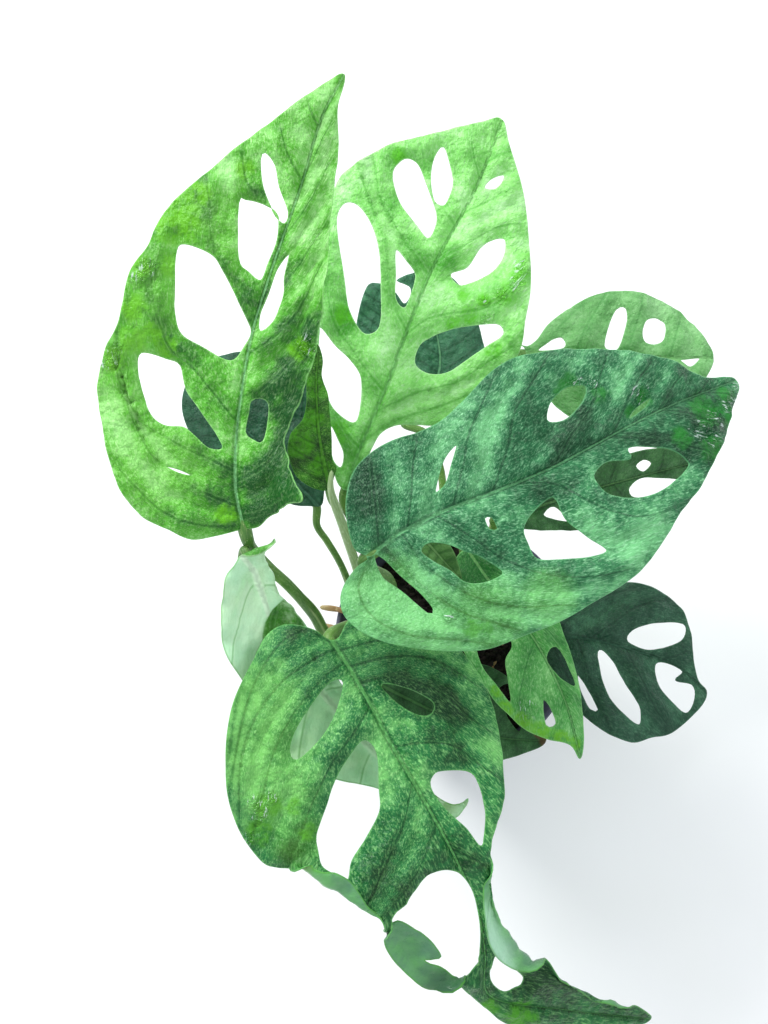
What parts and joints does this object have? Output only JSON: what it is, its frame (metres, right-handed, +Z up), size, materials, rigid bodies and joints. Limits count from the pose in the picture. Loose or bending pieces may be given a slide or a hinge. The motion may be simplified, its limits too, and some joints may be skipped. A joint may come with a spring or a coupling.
{
  "type": "monstera adansonii",
  "caption": "Young Swiss cheese plant with large holed, speckled leaves on slender stalks, growing in a plain round nursery pot.",
  "frame": {"origin": "centre of the pot's flat base, on the surface it stands on", "axes": "+Z up along the pot's axis, +X to the plant's right seen from the front, +Y to its back, where the upper leaves reach"},
  "size_m": [0.2808, 0.3878, 0.2792],
  "materials": {
    "pot": "satin",
    "soil": "matte, damp",
    "stem": "satin",
    "stalk": "satin",
    "root": "matte",
    "leaf_light": "satin, variegated",
    "leaf_mid": "satin, variegated",
    "leaf_dark": "satin",
    "leaf_pale": "satin"
  },
  "bodies": {
    "root": {"pot": "pot", "soil": "soil", "stem_left": "stem", "stem_right": "stem", "leaf_back_left": "leaf_light", "leaf_back": "leaf_light", "leaf_back_right": "leaf_light", "leaf_folded": "leaf_light", "leaf_top": "leaf_mid", "leaf_front": "leaf_mid", "leaf_front_young": "leaf_mid", "leaf_small": "leaf_mid", "leaf_under_top": "leaf_dark", "leaf_right": "leaf_dark", "leaf_behind_left": "leaf_dark", "leaf_behind": "leaf_dark", "leaf_low_front": "leaf_dark", "leaf_curled": "leaf_pale", "leaf_rolled": "leaf_pale", "stalk_back_left": "stalk", "stalk_back": "stalk", "stalk_back_right": "stalk", "stalk_folded": "stalk", "stalk_top": "stalk", "stalk_front": "stalk", "stalk_front_young": "stalk", "stalk_small": "stalk", "stalk_under_top": "stalk", "stalk_right": "stalk", "stalk_behind_left": "stalk", "stalk_behind": "stalk", "stalk_low_front": "stalk", "stalk_curled": "stalk", "aerial_root_1": "root", "aerial_root_2": "root", "aerial_root_3": "root"}
  },
  "joints": []
}
